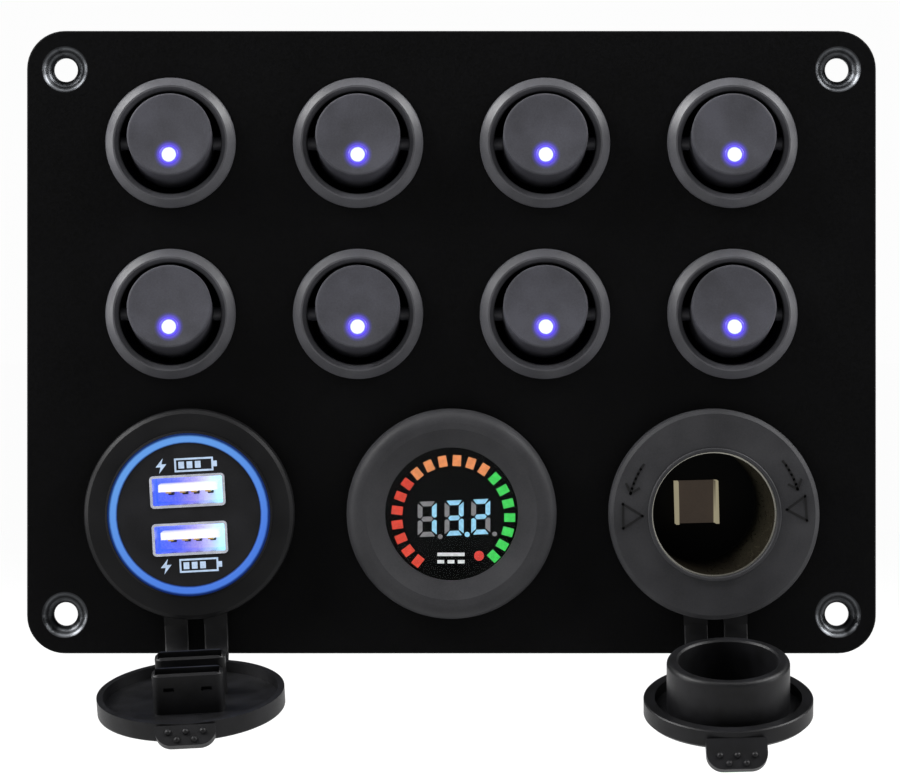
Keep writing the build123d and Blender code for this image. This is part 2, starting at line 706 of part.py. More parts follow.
def make_socket(plane):
    socket_tabs = ((0, 0), (SOCKET_SIDE_TAB_X, SOCKET_SIDE_TAB_COVER))
    with BuildPart() as housing:
        outline = [
            (0, SOCKET_FLOOR),
            (LINER_OUTER_R + PIECE_GAP, SOCKET_FLOOR),
            (LINER_OUTER_R + PIECE_GAP, LINER_FRONT + PIECE_GAP),
            (SOCKET_MOUTH_R, LINER_FRONT + PIECE_GAP),
            (SOCKET_MOUTH_R, SOCKET_LIP_FRONT - SMALL_BREAK),
            (SOCKET_MOUTH_R + SMALL_BREAK, SOCKET_LIP_FRONT),
            (SOCKET_LIP_R - SMALL_BREAK, SOCKET_LIP_FRONT),
            (SOCKET_LIP_R, SOCKET_LIP_FRONT - SMALL_BREAK),
            (SOCKET_LIP_R, SOCKET_FLANGE_FRONT),
            *flange_edge(SOCKET_FLANGE_FRONT),
            *thread_points(SOCKET_BACK),
            (0, SOCKET_BACK),
        ]
        revolve(half_section(plane, outline), axis=axis_of(plane))
        for right, cover in socket_tabs:
            with BuildSketch(shifted(plane, right=right, out=SOCKET_BACK)):
                Rectangle(UNIT_TAB_W + 2 * TAB_GAP, TAB_T + 2 * TAB_GAP)
            extrude(amount=SOCKET_FLOOR - cover - SOCKET_BACK, mode=Mode.SUBTRACT)
    save(housing, "socket_housing")

    with BuildPart() as liner:
        outline = [
            (LINER_R, LINER_BACK),
            (LINER_OUTER_R, LINER_BACK),
            (LINER_OUTER_R, LINER_FRONT),
            (LINER_R, LINER_FRONT),
        ]
        revolve(half_section(plane, outline), axis=axis_of(plane))
    save(liner, "socket_liner")

    floor = SOCKET_FLOOR + PIECE_GAP
    with BuildPart() as contact:
        with BuildSketch(shifted(plane, out=floor)):
            Rectangle(CENTRE_CONTACT_W, CENTRE_CONTACT_W)
        extrude(amount=CENTRE_CONTACT_T)
        with BuildSketch(shifted(plane, out=floor + CENTRE_CONTACT_T)):
            with GridLocations(CENTRE_CONTACT_W - CENTRE_CONTACT_T, 0, 2, 1):
                Rectangle(CENTRE_CONTACT_T, CENTRE_CONTACT_W)
        extrude(amount=CENTRE_CONTACT_RISE)
    save(contact, "socket_centre_contact")

    with BuildPart() as terminals:
        for right, cover in socket_tabs:
            tab_plane = shifted(plane, right=right)
            tip = SOCKET_BACK - TAB_LENGTH
            top = SOCKET_FLOOR - cover
            extrude(tab_outline(tab_plane, UNIT_TAB_W, tip, top), amount=TAB_T / 2, both=True)
    save(terminals, "socket_terminals")


def make_retaining_nuts(planes):
    """Three plastic nuts with grip notches, each on its unit's threaded barrel."""
    with BuildPart() as nuts:
        for plane in planes:
            with BuildSketch(shifted(plane, out=-PIECE_GAP)):
                Circle(NUT_R)
                Circle(NUT_BORE_R, mode=Mode.SUBTRACT)
                with PolarLocations(NUT_GRIP_CENTRE_R, NUT_GRIPS):
                    Circle(NUT_GRIP_R, mode=Mode.SUBTRACT)
            extrude(amount=-NUT_T)
    save(nuts, "retaining_nuts")


def cap_plane(plane, hinge_out, seat, open_angle):
    """Plane of an open cap: its origin is the middle of the seating face, and its z leaves the back."""
    hinge = shifted(plane, up=-HINGE_DROP, out=hinge_out)
    hinge_line = Axis(hinge.origin, plane.x_dir)
    closed = shifted(plane, out=seat)
    origin = hinge.origin + (closed.origin - hinge.origin).rotate(hinge_line, open_angle)
    return Plane(origin=origin, x_dir=plane.x_dir, z_dir=plane.z_dir.rotate(hinge_line, open_angle))


def strap_outlines(plane):
    """Two straps in section, side by side."""
    with BuildSketch(plane) as section:
        with GridLocations(2 * STRAP_X, 0, 2, 1):
            Rectangle(STRAP_W, STRAP_T)
    return section.sketch


def make_cap_ring(plane, name):
    """The flat ring that is trapped under the flange, with the roots of the two straps."""
    middle = (PANEL_T + FLANGE_SEAT) / 2
    root = shifted(plane, up=-(RING_INNER_R + RING_OUTER_R) / 2, out=middle)
    with BuildPart() as ring:
        with BuildSketch(shifted(plane, out=middle - STRAP_T / 2)):
            Circle(RING_OUTER_R)
            Circle(RING_INNER_R, mode=Mode.SUBTRACT)
        extrude(amount=STRAP_T)
        extrude(
            strap_outlines(tilted(root, 90)),
            amount=STRAP_START - (RING_INNER_R + RING_OUTER_R) / 2,
        )
    save(ring, name)


def make_cap_strap(plane, cap, cap_radius, open_angle, name):
    """Two straps that bend from the ring's roots, straight down, round to the cap's edge."""
    start_out = (PANEL_T + FLANGE_SEAT) / 2
    turn = 180 - open_angle
    end = cap.origin - cap.y_dir * (cap_radius + LUG_REACH) + cap.z_dir * (CAP_T / 2)
    reach_out = (end - plane.origin).dot(plane.z_dir) - start_out
    reach_down = -(end - plane.origin).dot(plane.y_dir) - STRAP_START - STRAP_STRAIGHT
    versine = 1 - cos(radians(turn))
    sine = sin(radians(turn))
    cosine = cos(radians(turn))
    # Arc radius and end run that land the strap on the cap's edge in the cap's own plane.
    radius = (reach_down * sine - reach_out * cosine) / (sine * sine - versine * cosine)
    end_run = (reach_out - radius * versine) / sine
    with BuildPart() as strap:
        with BuildLine(side_on(plane)) as path:
            down = Line((start_out, -STRAP_START), (start_out, -STRAP_START - STRAP_STRAIGHT))
            bend = JernArc(start=down @ 1, tangent=(0, -1), radius=radius, arc_size=turn)
            Line(bend @ 1, bend @ 1 + (bend % 1) * end_run)
        root = tilted(shifted(plane, up=-STRAP_START, out=start_out), 90)
        sweep(strap_outlines(root), path=path.line)
    save(strap, name)


def pull_tab_plane(cap, radius, out):
    """Plane in the middle of a pull tab: its y leaves the cap's far edge and leans to the cap's back."""
    return tilted(shifted(cap, up=radius, out=out), PULL_TAB_TILT)


def pull_tab_outline(tab, length):
    """A pull tab seen face on, with a rounded tip and its root inside the cap's rim."""
    with BuildSketch(shifted(tab, out=-PULL_TAB_T / 2)) as outline:
        with Locations((0, (length - PULL_TAB_EMBED) / 2)):
            Rectangle(PULL_TAB_W, length + PULL_TAB_EMBED)
        tip_corners = outline.vertices().sort_by(Axis.Y)[-2:]
        fillet(tip_corners, PULL_TAB_ROUND)
    return outline.sketch


def bump_points(length):
    """Places of five bumps on a pull tab, three in the inner row and two in the outer row."""
    outer = length - BUMP_EDGE_GAP
    inner = outer - BUMP_ROW_GAP
    row_of_three = [(step * BUMP_PITCH, inner) for step in (-1, 0, 1)]
    row_of_two = [(step * BUMP_PITCH, outer) for step in (-0.5, 0.5)]
    return row_of_three + row_of_two


def bump_places(tab, length):
    """Locations of the bumps, centred on the tab's inner face."""
    face = Location(shifted(tab, out=-PULL_TAB_T / 2))
    return [face * Location((x, y, 0)) for x, y in bump_points(length)]


def make_usb_cap(cap):
    with BuildPart() as usb_cap:
        with BuildSketch(cap):
            Circle(USB_CAP_R)
        extrude(amount=CAP_T)
        back_edge = usb_cap.edges().filter_by(GeomType.CIRCLE).sort_by(axis_of(cap))[-1]
        fillet(back_edge, CAP_EDGE_BREAK)
        with BuildSketch(cap):
            Circle(USB_CAP_RECESS_R)
        extrude(amount=CAP_RECESS, mode=Mode.SUBTRACT)
        tab = pull_tab_plane(cap, USB_CAP_R, USB_PULL_TAB_OUT)
        extrude(pull_tab_outline(tab, USB_PULL_TAB_L), amount=PULL_TAB_T)
        with BuildSketch(shifted(cap, out=CAP_RECESS)):
            with GridLocations(0, 2 * PORT_RISE, 1, 2):
                RectangleRounded(USB_PLUG_W, USB_PLUG_H, USB_PLUG_CORNER_R)
        extrude(amount=-USB_PLUG_L)
        tips = usb_cap.faces().sort_by(axis_of(cap))[:2]
        chamfer(tips.edges(), USB_PLUG_TIP)
        # Pocket in each plug for the port's tongue
        plug_tip = CAP_RECESS - USB_PLUG_L
        pocket_middle = (USB_POCKET_LOW + USB_POCKET_HIGH) / 2
        with BuildSketch(shifted(cap, up=pocket_middle, out=plug_tip)):
            with GridLocations(0, 2 * PORT_RISE, 1, 2):
                Rectangle(USB_PLUG_W - 2 * USB_PLUG_SIDE_WALL, USB_POCKET_HIGH - USB_POCKET_LOW)
        extrude(amount=USB_PLUG_L - CAP_RECESS, mode=Mode.SUBTRACT)
        # Two small slots through the upper wall of each plug
        with BuildSketch(shifted(cap, up=USB_PLUG_H / 2, out=plug_tip + USB_SLOT_FROM_TIP)):
            with GridLocations(2 * USB_SLOT_X, 2 * PORT_RISE, 2, 2):
                Rectangle(USB_SLOT_W, USB_PLUG_H - 2 * USB_POCKET_HIGH)
        extrude(amount=USB_SLOT_H, mode=Mode.SUBTRACT)
        lugs = shifted(cap, up=-(USB_CAP_R + LUG_REACH), out=CAP_T / 2)
        extrude(strap_outlines(tilted(lugs, -90)), amount=LUG_REACH + LUG_EMBED)
        with Locations(*bump_places(tab, USB_PULL_TAB_L)):
            Sphere(BUMP_R)
    save(usb_cap, "usb_cap")


def make_socket_cap(cap):
    plug_inner = SOCKET_PLUG_R - SOCKET_PLUG_WALL
    tip = CAP_RECESS - SOCKET_PLUG_L
    with BuildPart() as socket_cap:
        with BuildSketch(across(cap)):
            with BuildLine():
                Polyline(
                    (SOCKET_PLUG_R, tip + SOCKET_PLUG_TIP_R),
                    (SOCKET_PLUG_R, CAP_RECESS),
                    (SOCKET_CAP_RECESS_R, CAP_RECESS),
                    (SOCKET_CAP_RECESS_R, 0),
                    (SOCKET_CAP_R - CAP_RIM_BREAK, 0),
                    (SOCKET_CAP_R, CAP_RIM_BREAK),
                    (SOCKET_CAP_R, CAP_T - CAP_EDGE_BREAK),
                    (SOCKET_CAP_R - CAP_EDGE_BREAK, CAP_T),
                    (0, CAP_T),
                    (0, CAP_RECESS),
                    (plug_inner, CAP_RECESS),
                    (plug_inner, tip + SOCKET_PLUG_INNER_BREAK),
                    (plug_inner + SOCKET_PLUG_INNER_BREAK, tip),
                    (SOCKET_PLUG_R - SOCKET_PLUG_TIP_R, tip),
                )
                RadiusArc(
                    (SOCKET_PLUG_R - SOCKET_PLUG_TIP_R, tip),
                    (SOCKET_PLUG_R, tip + SOCKET_PLUG_TIP_R),
                    -SOCKET_PLUG_TIP_R,
                )
            make_face()
        revolve(axis=axis_of(cap))
        tab = pull_tab_plane(cap, SOCKET_CAP_R, SOCKET_PULL_TAB_OUT)
        extrude(pull_tab_outline(tab, SOCKET_PULL_TAB_L), amount=PULL_TAB_T)
        lugs = shifted(cap, up=-(SOCKET_CAP_R + LUG_REACH), out=CAP_T / 2)
        extrude(strap_outlines(tilted(lugs, -90)), amount=LUG_REACH + LUG_EMBED)
        with Locations(*bump_places(tab, SOCKET_PULL_TAB_L)):
            Sphere(BUMP_R)
    save(socket_cap, "socket_cap")


def main():
    os.makedirs("parts", exist_ok=True)
    make_front_panel()
    for number, (x, z) in enumerate(SWITCH_CENTRES, 1):
        make_switch(number, x, z)
    make_switch_feed_terminals()
    make_switch_load_terminals()
    make_switch_ground_terminals()

    usb = facing(-UNIT_PITCH, UNIT_Z, turn=USB_TURN)
    meter = facing(0, UNIT_Z)
    socket = facing(UNIT_PITCH, UNIT_Z, turn=SOCKET_TURN)
    make_usb_housing(usb)
    make_usb_face(usb)
    make_usb_light_ring(usb)
    make_usb_port_shells(usb)
    make_usb_tongues(usb)
    make_usb_contacts(usb)
    make_round_board(usb, USB_CAVITY_R - BOARD_GAP, USB_BOARD_FRONT, "usb_circuit_board")
    make_unit_terminals(usb, USB_BACK, (-USB_TAB_X, USB_TAB_X), "usb_terminals")
    make_meter(meter)
    make_socket(socket)
    make_retaining_nuts((usb, meter, socket))

    usb_seat = FLANGE_FRONT + CAP_GAP
    usb_cap = cap_plane(usb, USB_HINGE_OUT, usb_seat, USB_CAP_OPEN)
    make_cap_ring(usb, "usb_cap_ring")
    make_cap_strap(usb, usb_cap, USB_CAP_R, USB_CAP_OPEN, "usb_cap_strap")
    make_usb_cap(usb_cap)

    socket_seat = SOCKET_FLANGE_FRONT + CAP_GAP
    socket_cap = cap_plane(socket, SOCKET_HINGE_OUT, socket_seat, SOCKET_CAP_OPEN)
    make_cap_ring(socket, "socket_cap_ring")
    make_cap_strap(socket, socket_cap, SOCKET_CAP_R, SOCKET_CAP_OPEN, "socket_cap_strap")
    make_socket_cap(socket_cap)


main()
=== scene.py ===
from math import cos, hypot, pi, radians, sin

import bmesh
import bpy
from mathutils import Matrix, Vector


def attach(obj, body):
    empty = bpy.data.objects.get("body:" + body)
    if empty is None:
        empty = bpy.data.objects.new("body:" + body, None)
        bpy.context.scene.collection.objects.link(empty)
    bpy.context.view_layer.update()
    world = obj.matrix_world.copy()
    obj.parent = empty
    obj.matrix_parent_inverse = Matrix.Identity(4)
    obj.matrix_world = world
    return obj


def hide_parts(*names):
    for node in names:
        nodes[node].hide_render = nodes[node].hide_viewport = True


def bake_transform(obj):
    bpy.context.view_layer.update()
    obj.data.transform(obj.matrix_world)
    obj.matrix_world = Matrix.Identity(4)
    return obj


# A black control panel with eight lit rocker switches, a twin USB charger, a voltmeter and a 12 volt
# socket with two dust caps. Row frame: +Z up, +X right, the front faces -Y. Sizes here are in
# millimetres unless a name says otherwise, and "out" is the distance in front of the panel's back.

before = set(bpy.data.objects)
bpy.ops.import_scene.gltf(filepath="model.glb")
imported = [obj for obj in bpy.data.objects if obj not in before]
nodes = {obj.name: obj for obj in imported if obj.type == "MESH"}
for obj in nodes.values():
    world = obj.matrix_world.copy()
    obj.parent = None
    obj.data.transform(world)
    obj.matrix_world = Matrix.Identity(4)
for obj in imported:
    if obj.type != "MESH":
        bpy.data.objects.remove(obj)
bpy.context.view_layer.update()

SCREW = (68.3, 48.2)
SINK_R = 4.03
# The switches stand in two rows of four, spread evenly about these middles.
SWITCH_PAIR_X, SWITCH_HALF_X = 33.05, 16.55
SWITCH_ROWS_Z, SWITCH_HALF_Z = 20.1, 15.1
LAMP_DROP = 2.24
UNIT_X = 46.1
UNIT_Z = -30.2
USB_TURN = radians(3.0)
SOCKET_TURN = radians(1.5)


def linear(red, green, blue):
    """Linear colour for a node socket, from 8-bit display values."""
    def one(value):
        share = value / 255
        return share / 12.92 if share <= 0.04045 else ((share + 0.055) / 1.055) ** 2.4
    return (one(red), one(green), one(blue), 1.0)


# ---------------------------------------------------------------- materials

class Shader:
    """A material with a Principled surface, and short ways to add nodes to it."""

    def __init__(self, name):
        self.material = bpy.data.materials.new(name)
        self.material.use_nodes = True
        self.tree = self.material.node_tree
        self.surface = self.tree.nodes["Principled BSDF"]
        coordinates = self.add("ShaderNodeTexCoord")
        scaled = self.add("ShaderNodeVectorMath", operation="SCALE")
        self.join(coordinates.outputs["Object"], scaled.inputs[0])
        scaled.inputs["Scale"].default_value = 1000.0
        self.place = scaled.outputs[0]

    def add(self, kind, **settings):
        node = self.tree.nodes.new(kind)
        for key, value in settings.items():
            setattr(node, key, value)
        return node

    def join(self, source, target):
        self.tree.links.new(source, target)

    def feed(self, target, value):
        """Joins a socket, or sets a number or colour."""
        if isinstance(value, bpy.types.NodeSocket):
            self.join(value, target)
        else:
            target.default_value = value

    def set(self, **values):
        """Sets the surface's sockets by name, with _ for a space."""
        for key, value in values.items():
            self.feed(self.surface.inputs[key.replace("_", " ")], value)
        return self

    def base(self):
        """What the surface's base colour is joined to so far."""
        return self.surface.inputs["Base Color"].links[0].from_socket

    def math(self, operation, first, second=0.0):
        node = self.add("ShaderNodeMath", operation=operation)
        for socket, value in zip(node.inputs, (first, second)):
            self.feed(socket, value)
        return node.outputs[0]

    def vector(self, operation, first, second=(0.0, 0.0, 0.0)):
        node = self.add("ShaderNodeVectorMath", operation=operation)
        self.feed(node.inputs[0], first)
        self.feed(node.inputs[1], second)
        return node.outputs["Value"] if operation in ("LENGTH", "DOT_PRODUCT") else node.outputs[0]

    def noise(self, scale, detail=3.0, roughness=0.6, stretch=None):
        """Noise with about `scale` cells to the millimetre."""
        node = self.add("ShaderNodeTexNoise")
        place = self.place if stretch is None else self.vector("MULTIPLY", self.place, stretch)
        self.join(place, node.inputs["Vector"])
        node.inputs["Scale"].default_value = scale
        node.inputs["Detail"].default_value = detail
        node.inputs["Roughness"].default_value = roughness
        return node.outputs["Fac"]

    def span(self, value, low, high, first=0.0, last=1.0, smooth=False):
        """Maps low..high to first..last, held at the ends."""
        node = self.add("ShaderNodeMapRange", interpolation_type="SMOOTHSTEP" if smooth else "LINEAR")
        for socket, number in zip(node.inputs, (value, low, high, first, last)):
            self.feed(socket, number)
        return node.outputs[0]

    def ramp(self, value, stops):
        node = self.add("ShaderNodeValToRGB")
        self.feed(node.inputs[0], value)
        elements = node.color_ramp.elements
        while len(elements) < len(stops):
            elements.new(0.5)
        for element, (position, colour) in zip(elements, stops):
            element.position = position
            element.color = colour
        return node.outputs[0]

    def mix(self, share, first, second):
        node = self.add("ShaderNodeMix", data_type="RGBA")
        self.feed(node.inputs[0], share)
        self.feed(node.inputs[6], first)
        self.feed(node.inputs[7], second)
        return node.outputs[2]

    def bump(self, height, depth):
        """Bump `depth` millimetres deep."""
        node = self.add("ShaderNodeBump")
        node.inputs["Strength"].default_value = 1.0
        node.inputs["Distance"].default_value = depth / 1000
        self.join(height, node.inputs["Height"])
        self.join(node.outputs[0], self.surface.inputs["Normal"])

    def axes(self):
        """Position split into x, y and z."""
        node = self.add("ShaderNodeSeparateXYZ")
        self.join(self.place, node.inputs[0])
        return node.outputs

    def distance(self, across, up):
        return self.math("SQRT", self.math("ADD", self.math("MULTIPLY", across, across),
                                           self.math("MULTIPLY", up, up)))

    def around(self, x, z):
        """Distance from the line through (x, z) that runs from front to back."""
        place = self.axes()
        return self.distance(self.math("SUBTRACT", place[0], x), self.math("SUBTRACT", place[2], z))


def plastic(name, low, high, roughness, specular, cell=3.0, depth=0.012):
    """Moulded plastic: cloudy tone, fine spark-eroded grain, and uneven gloss."""
    s = Shader(name)
    cloud = s.noise(0.12, 2.0)
    grain = s.noise(cell, 4.0, 0.7)
    tone = s.math("ADD", s.math("MULTIPLY", cloud, 0.6), s.math("MULTIPLY", grain, 0.4))
    s.set(Base_Color=s.ramp(tone, [(0.36, low), (0.62, high)]))
    s.set(Roughness=s.span(grain, 0.3, 0.7, roughness - 0.05, roughness + 0.07))
    s.set(Specular_IOR_Level=specular)
    s.bump(grain, depth)
    return s


def metal(name, low, high, roughness, stretch=(1.0, 1.0, 1.0), cell=2.0, depth=0.004):
    """Metal with drawn or turned streaks along the axis that is stretched least."""
    s = Shader(name)
    streak = s.noise(cell, 4.0, 0.65, stretch)
    cloud = s.noise(0.3, 3.0)
    tone = s.math("ADD", s.math("MULTIPLY", streak, 0.6), s.math("MULTIPLY", cloud, 0.4))
    s.set(Base_Color=s.ramp(tone, [(0.34, low), (0.66, high)]), Metallic=1.0)
    s.set(Roughness=s.span(streak, 0.3, 0.7, roughness - 0.06, roughness + 0.08))
    s.bump(streak, depth)
    return s


def lit(name, colour, strength):
    """A mark that glows, a little uneven as a light guide is. Lit marks are lamps; print and unlit
    segments made with it have their tone painted on as glow.
    """
    s = Shader(name)
    patch = s.noise(1.4, 2.0)
    dimmer = tuple(c * 0.82 for c in colour[:3]) + (1.0,)
    s.set(Base_Color=(0.02, 0.02, 0.02, 1.0), Roughness=0.5, Emission_Strength=strength)
    s.set(Emission_Color=s.ramp(patch, [(0.38, dimmer), (0.6, colour)]))
    return s.material


def panel_coat():
    """Fine black powder coat, with the four countersinks cut through it to bare metal."""
    s = Shader("panel_coat")
    grain = s.noise(2.6, 5.0, 0.75)
    cloud = s.noise(0.05, 3.0)
    tone = s.math("ADD", s.math("MULTIPLY", grain, 0.75), s.math("MULTIPLY", cloud, 0.25))
    coat = s.ramp(tone, [(0.36, linear(5, 5, 5)), (0.64, linear(12, 12, 13))])
    place = s.axes()
    across = s.math("SUBTRACT", s.math("ABSOLUTE", place[0]), SCREW[0])
    up = s.math("SUBTRACT", s.math("ABSOLUTE", place[2]), SCREW[1])
    from_screw = s.distance(across, up)
    inside = s.span(from_screw, SINK_R, SINK_R + 0.06, 1.0, 0.0)
    in_front = s.span(place[1], -0.35, -0.3, 1.0, 0.0)
    bare = s.math("MULTIPLY", inside, in_front)
    turned = s.math("SINE", s.math("MULTIPLY", from_screw, 7.5))
    steel = s.ramp(s.span(turned, -1.0, 1.0), [(0.0, linear(48, 49, 51)), (1.0, linear(92, 94, 97))])
    s.set(Base_Color=s.mix(bare, coat, steel), Metallic=bare)
    coat_gloss = s.span(grain, 0.3, 0.7, 0.5, 0.68)
    s.set(Roughness=s.math("ADD", s.math("MULTIPLY", s.math("SUBTRACT", 1.0, bare), coat_gloss),
                           s.math("MULTIPLY", bare, 0.3)))
    s.set(Specular_IOR_Level=0.03)
    height = s.math("ADD", grain, s.math("MULTIPLY", s.math("MULTIPLY", turned, bare), 0.6))
    s.bump(height, 0.02)
    return s.material


def from_nearest(s, rows_z):
    """Distance from the nearest of eight lines, in two rows of four about the height `rows_z`."""
    place = s.axes()
    across = s.math("ABSOLUTE", s.math("SUBTRACT", s.math("ABSOLUTE", place[0]), SWITCH_PAIR_X))
    up = s.math("ABSOLUTE", s.math("SUBTRACT", place[2], rows_z))
    return s.distance(s.math("SUBTRACT", across, SWITCH_HALF_X), s.math("SUBTRACT", up, SWITCH_HALF_Z))


def from_lamp(s):
    return from_nearest(s, SWITCH_ROWS_Z - LAMP_DROP)


def rocker_plastic():
    """Satin black plastic, with the lamp's light painted on it as a blue-violet glow round the lamp."""
    s = plastic("rocker_plastic", linear(47, 47, 51), linear(62, 62, 68), 0.42, 0.26, 3.4, 0.012)
    # Painted light: the lamp's blue-violet glow is coloured onto the plastic round the lens.
    glow = s.span(from_lamp(s), 1.7, 2.7, 1.0, 0.0, smooth=True)
    s.set(Emission_Color=s.ramp(glow, [(0.0, (0, 0, 0, 1)), (0.5, (0.012, 0.006, 0.16, 1)),
                                       (1.0, (0.07, 0.035, 0.62, 1))]))
    s.set(Emission_Strength=1.0)
    return s.material


def switch_plastic():
    """Satin black plastic. Inside the bezel, where little light reaches, the shade is painted on: it is
    coloured near black and loses its gloss.
    """
    s = plastic("switch_plastic", linear(54, 54, 57), linear(70, 70, 74), 0.36, 0.4, 3.4)
    clear_of_painted_shade = s.span(from_nearest(s, SWITCH_ROWS_Z), 8.95, 9.25)
    # Painted shade: inside the bezel's opening the colour is near black and the gloss is turned off.
    s.set(Base_Color=s.mix(clear_of_painted_shade, linear(6, 6, 6), s.base()))
    s.set(Specular_IOR_Level=s.math("MULTIPLY", clear_of_painted_shade, 0.4))
    return s.material


def lamp_blue():
    """Light pipe: a white core in a blue-violet edge."""
    s = Shader("lamp_blue")
    away = s.math("ADD", from_lamp(s), s.math("MULTIPLY", s.noise(2.0), 0.15))
    share = s.math("DIVIDE", away, 2.0)
    s.set(Emission_Color=s.ramp(share, [(0.0, (0.86, 1.0, 1.0, 1)), (0.6, (0.86, 0.98, 1.0, 1)),
                                        (0.7, (0.12, 0.08, 0.95, 1)), (0.9, (0.055, 0.03, 0.42, 1))]))
    s.set(Base_Color=linear(40, 40, 120), Roughness=0.25, Emission_Strength=1.25)
    return s.material


def ring_light():
    """Blue light guide with navy edges, brighter to the upper left."""
    s = Shader("ring_light")
    away = s.math("ADD", s.around(-UNIT_X, UNIT_Z), s.math("MULTIPLY", s.noise(1.2), 0.12))
    place = s.axes()
    slant = s.math("SUBTRACT", place[2], s.math("MULTIPLY", place[0], 0.6))
    blue = s.mix(s.span(slant, -14.0, 10.0), linear(72, 122, 222), linear(98, 156, 230))
    edge = s.ramp(s.span(away, 12.4, 14.4), [(0.12, (0, 0, 0, 1)), (0.26, (1, 1, 1, 1)),
                                            (0.66, (1, 1, 1, 1)), (0.84, (0.06, 0.06, 0.06, 1))])
    s.set(Emission_Color=s.mix(edge, linear(6, 24, 84), blue), Emission_Strength=0.98)
    s.set(Base_Color=linear(10, 22, 46), Roughness=0.45, Specular_IOR_Level=0.1)
    return s.material


def usb_local(s):
    """Across, up and out, measured from the charger's own axis."""
    middle = s.vector("SUBTRACT", s.place, (-UNIT_X, 0.0, UNIT_Z))
    across = s.vector("DOT_PRODUCT", middle, (cos(USB_TURN), 0.0, sin(USB_TURN)))
    up = s.vector("DOT_PRODUCT", middle, (-sin(USB_TURN), 0.0, cos(USB_TURN)))
    out = s.vector("DOT_PRODUCT", middle, (0.0, -1.0, 0.0))
    return across, up, out


def tongue_plastic():
    """White tongues before a back wall. The lamp light inside the ports is painted on as glow: blue on
    the left of the wall and cyan on its right, near white on the tongues' fronts.
    """
    s = Shader("tongue_plastic")
    across, up, out = usb_local(s)
    streak = s.math("MULTIPLY", s.math("SUBTRACT", s.noise(0.8), 0.5), 0.12)
    share = s.math("ADD", s.span(across, -6.4, 6.4), streak)
    wall = s.ramp(share, [(0.0, linear(20, 70, 220)), (0.3, linear(64, 74, 214)),
                          (0.55, linear(150, 132, 214)), (0.74, linear(196, 190, 236)),
                          (0.88, linear(188, 244, 248))])
    face = s.ramp(share, [(0.0, linear(226, 228, 250)), (0.5, linear(244, 234, 242)),
                          (0.85, linear(236, 240, 250)), (0.97, linear(150, 226, 246))])
    forward = s.span(out, -2.6, 3.0, 0.0, 1.0)
    # Painted light: the tongues and back wall are no lamps, and this glow stands in for the lamp light
    # inside the ports.
    s.set(Emission_Color=s.mix(forward, wall, face), Emission_Strength=0.82)
    s.set(Base_Color=s.ramp(s.noise(3.0), [(0.4, linear(196, 198, 214)), (0.6, linear(226, 226, 236))]))
    s.set(Roughness=0.45, Specular_IOR_Level=0.3)
    return s.material


def port_steel():
    """Folded nickel-plated tubes, with the blue lamp light on their inner walls painted on as glow."""
    s = metal("port_steel", linear(172, 176, 190), linear(214, 216, 226), 0.24, (0.25, 1.6, 0.25), 2.4)
    across, up, out = usb_local(s)
    deep = s.span(out, 7.3, 3.0, 0.0, 1.0, smooth=True)
    share = s.span(across, -6.6, 6.6)
    tint = s.ramp(share, [(0.0, (0.012, 0.08, 0.75, 1)), (0.55, (0.06, 0.09, 0.6, 1)),
                          (1.0, (0.12, 0.62, 0.9, 1))])
    # Painted light: the blue and cyan glow deep inside the tubes.
    s.set(Emission_Color=s.mix(deep, (0, 0, 0, 1), tint), Emission_Strength=0.5)
    return s.material


def contact_strips():
    """Gold-plated strips with painted shade: dark and less metallic at their humps, which sit in the
    shade of the tongue.
    """
    s = metal("usb_contact", linear(190, 150, 84), linear(222, 186, 116), 0.3)
    _, _, out = usb_local(s)
    shade = s.span(out, -0.6, 1.5, 0.0, 1.0)
    # Painted shade: the deeper parts are coloured dark purple-black instead of gold.
    s.set(Base_Color=s.mix(shade, linear(26, 8, 30), linear(206, 170, 104)))
    s.set(Metallic=s.span(out, -0.6, 1.5, 0.0, 1.0))
    return s.material


def socket_plastic():
    """Matt black plastic, with painted shade: near black down inside the bore."""
    s = plastic("socket_plastic", linear(38, 38, 40), linear(50, 50, 52), 0.5, 0.12, 4.0, 0.01)
    inside = s.span(s.around(UNIT_X, UNIT_Z), 11.0, 11.3, 1.0, 0.0)
    deep = s.span(s.axes()[1], -5.6, -4.6)
    # Painted shade: the bore's wall behind its mouth is coloured near black.
    s.set(Base_Color=s.mix(s.math("MULTIPLY", inside, deep), s.base(), linear(4, 4, 4)))
    return s.material


def liner_steel():
    """Plated tube, bright at its mouth, with its deep shade behind the mouth painted on as dark steel.
    """
    # Painted shade: the steel's own tone is given near black, and only the mouth is bright.
    s = metal("liner_steel", linear(16, 15, 14), linear(30, 29, 27), 0.3, (1.0, 0.12, 1.0), 2.0, 0.003)
    mouth = s.span(s.axes()[1], -5.2, -4.3, 1.0, 0.0)
    s.set(Base_Color=s.mix(mouth, s.base(), linear(168, 166, 156)))
    return s.material


def centre_contact():
    """Dull warm metal pad. Its light is painted on as glow, dull in the middle, with painted highlights
    on the walls at its sides.
    """
    s = metal("centre_contact", linear(50, 44, 40), linear(70, 62, 56), 0.5, (1, 0.4, 1), 1.4, 0.006)
    place = s.axes()
    side = s.math("ABSOLUTE", s.math("SUBTRACT", place[0], UNIT_X))
    side_highlight = s.span(side, 3.25, 3.45, 0.0, 1.0)
    # Painted light: the pad glows, and the glow is brightest on its side walls as painted highlights.
    s.set(Emission_Color=s.mix(side_highlight, linear(56, 49, 43), linear(156, 148, 122)), Emission_Strength=0.85)
    return s.material


